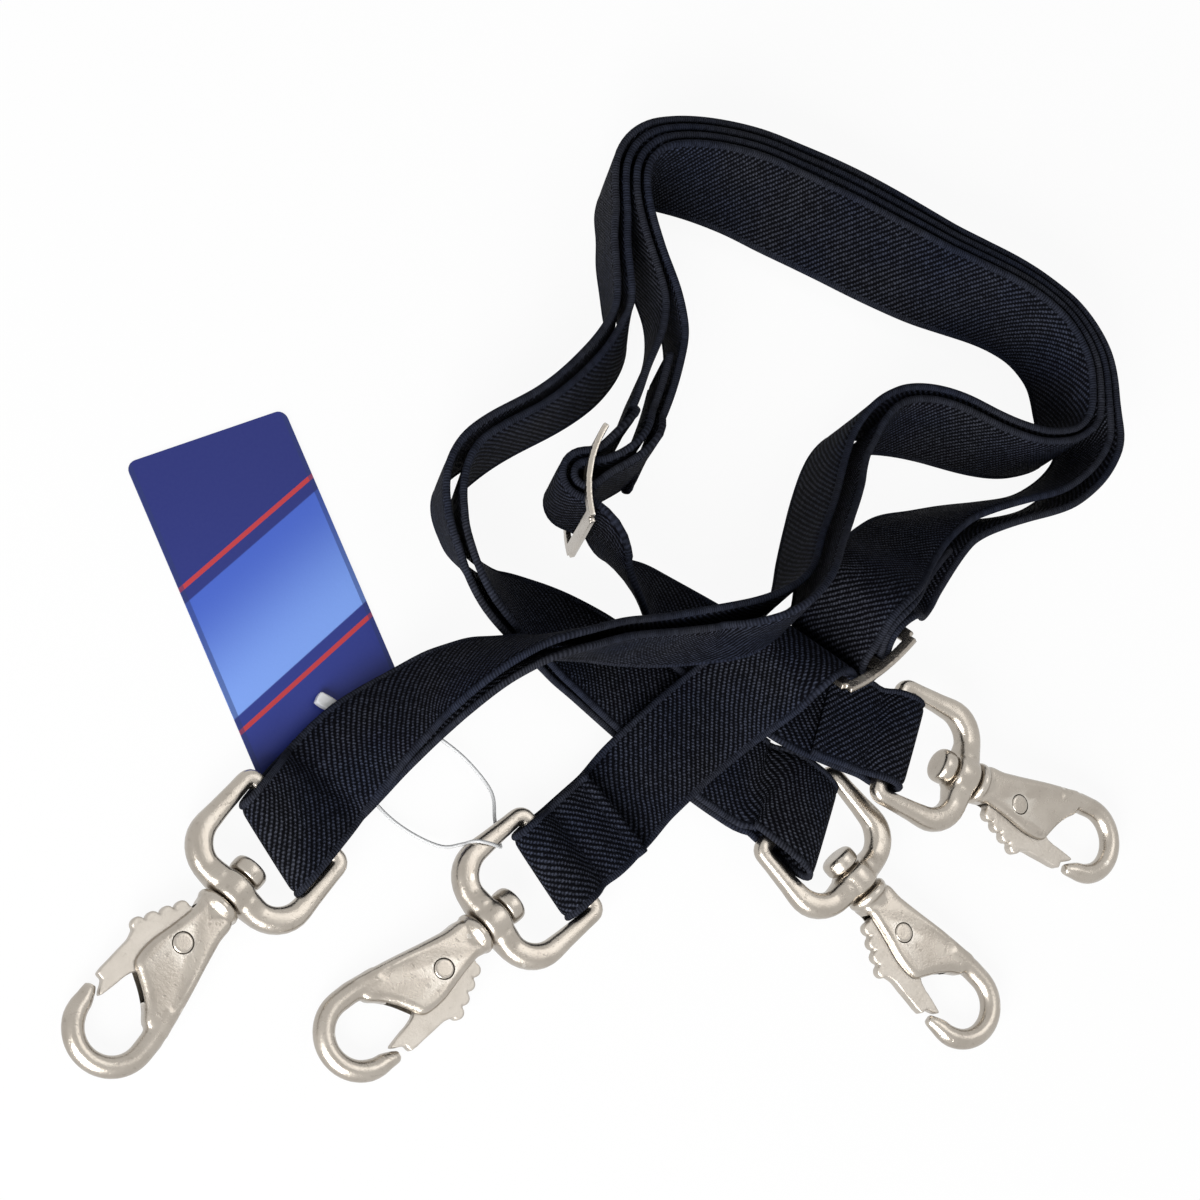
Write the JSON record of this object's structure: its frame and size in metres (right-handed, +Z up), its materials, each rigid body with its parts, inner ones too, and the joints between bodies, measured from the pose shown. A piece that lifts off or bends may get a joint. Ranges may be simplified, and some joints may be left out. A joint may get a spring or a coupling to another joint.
{
  "type": "pair of adjustable elastic snap straps",
  "caption": "Adjustable elastic webbing straps doubled through bowed sliders, with swivel trigger snaps at their ends and a hang tag on a loop, laid out as one loose tangle.",
  "frame": {"origin": "on the table under the middle of the whole part's box", "axes": "+Z up from the table; +X to the right and +Y away as the picture is seen"},
  "size_m": [0.2882, 0.2472, 0.0479],
  "materials": {
    "webbing": "near-black navy twill elastic, satin",
    "nickel": "warm satin nickel plate on cast zinc",
    "spring_steel": "bare spring steel",
    "thread": "matte polyester thread",
    "card": "deep blue printed card, half gloss",
    "clear_plastic": "clear nylon"
  },
  "bodies": {
    "straps": {"strap_one": "webbing", "strap_two": "webbing", "slider_one": "nickel", "slider_two": "nickel", "stitches_b": "thread", "stitches_d": "thread", "stitches_one": "thread", "stitches_two": "thread", "hang_tag": "card", "tag_loop": "clear_plastic", "tag_lock": "clear_plastic"},
    "snap_a_eye": {"eye_a": "nickel"},
    "snap_a_hook": {"hook_a": "nickel", "pin_a": "nickel", "spring_a": "spring_steel"},
    "snap_a_gate": {"gate_a": "nickel"},
    "snap_b_eye": {"eye_b": "nickel"},
    "snap_b_hook": {"hook_b": "nickel", "pin_b": "nickel", "spring_b": "spring_steel"},
    "snap_b_gate": {"gate_b": "nickel"},
    "snap_c_eye": {"eye_c": "nickel"},
    "snap_c_hook": {"hook_c": "nickel", "pin_c": "nickel", "spring_c": "spring_steel"},
    "snap_c_gate": {"gate_c": "nickel"},
    "snap_d_eye": {"eye_d": "nickel"},
    "snap_d_hook": {"hook_d": "nickel", "pin_d": "nickel", "spring_d": "spring_steel"},
    "snap_d_gate": {"gate_d": "nickel"}
  },
  "joints": [
    {"name": "swing_a", "type": "hinge", "parent": "straps", "child": "snap_a_eye", "pos_m": [-0.08752, -0.06186, 0.0071], "axis": [-0.7373, 0.6756, 0], "range_deg": [-45, 100]},
    {"name": "swivel_a", "type": "hinge", "parent": "snap_a_eye", "child": "snap_a_hook", "pos_m": [-0.10337, -0.07916, 0.00587], "axis": [-0.6747, -0.7363, -0.0523], "continuous": true},
    {"name": "gate_a", "type": "hinge", "parent": "snap_a_hook", "child": "snap_a_gate", "pos_m": [-0.11626, -0.09174, 0.00493], "axis": [-0.0354, -0.0386, 0.9986], "range_deg": [0, 22], "stiffness_Nm_per_rad": 0.05, "springref_deg": -17.19, "deforming": ["spring_a"]},
    {"name": "swing_b", "type": "hinge", "parent": "straps", "child": "snap_b_eye", "pos_m": [-0.01992, -0.07056, 0.0071], "axis": [-0.6225, 0.7826, 0], "range_deg": [-45, 100], "deforming": ["tag_loop"]},
    {"name": "swivel_b", "type": "hinge", "parent": "snap_b_eye", "child": "snap_b_hook", "pos_m": [-0.03829, -0.08517, 0.00587], "axis": [-0.7815, -0.6217, -0.0523], "continuous": true},
    {"name": "gate_b", "type": "hinge", "parent": "snap_b_hook", "child": "snap_b_gate", "pos_m": [-0.05173, -0.09714, 0.00493], "axis": [0.041, 0.0326, -0.9986], "range_deg": [0, 22], "stiffness_Nm_per_rad": 0.05, "springref_deg": -17.19, "deforming": ["spring_b"]},
    {"name": "swing_c", "type": "hinge", "parent": "straps", "child": "snap_c_eye", "pos_m": [0.04618, -0.05596, 0.0071], "axis": [-0.7254, -0.6884, 0], "range_deg": [-90, 0]},
    {"name": "swivel_c", "type": "hinge", "parent": "snap_c_eye", "child": "snap_c_hook", "pos_m": [0.06233, -0.07298, 0.00587], "axis": [0.6874, -0.7244, -0.0523], "continuous": true},
    {"name": "gate_c", "type": "hinge", "parent": "snap_c_hook", "child": "snap_c_gate", "pos_m": [0.07398, -0.08671, 0.00493], "axis": [0.036, -0.038, 0.9986], "range_deg": [0, 22], "stiffness_Nm_per_rad": 0.05, "springref_deg": -17.19, "deforming": ["spring_c"]},
    {"name": "swing_d", "type": "hinge", "parent": "straps", "child": "snap_d_eye", "pos_m": [0.07058, -0.03836, 0.0151], "axis": [-0.342, -0.9397, 0], "range_deg": [0, 90]},
    {"name": "swivel_d", "type": "hinge", "parent": "snap_d_eye", "child": "snap_d_hook", "pos_m": [0.0924, -0.0463, 0.0115], "axis": [0.9286, -0.338, -0.153], "continuous": true},
    {"name": "gate_d", "type": "hinge", "parent": "snap_d_hook", "child": "snap_d_gate", "pos_m": [0.10878, -0.05333, 0.00875], "axis": [0.1438, -0.0523, 0.9882], "range_deg": [0, 22], "stiffness_Nm_per_rad": 0.05, "springref_deg": -17.19, "deforming": ["spring_d"]}
  ]
}
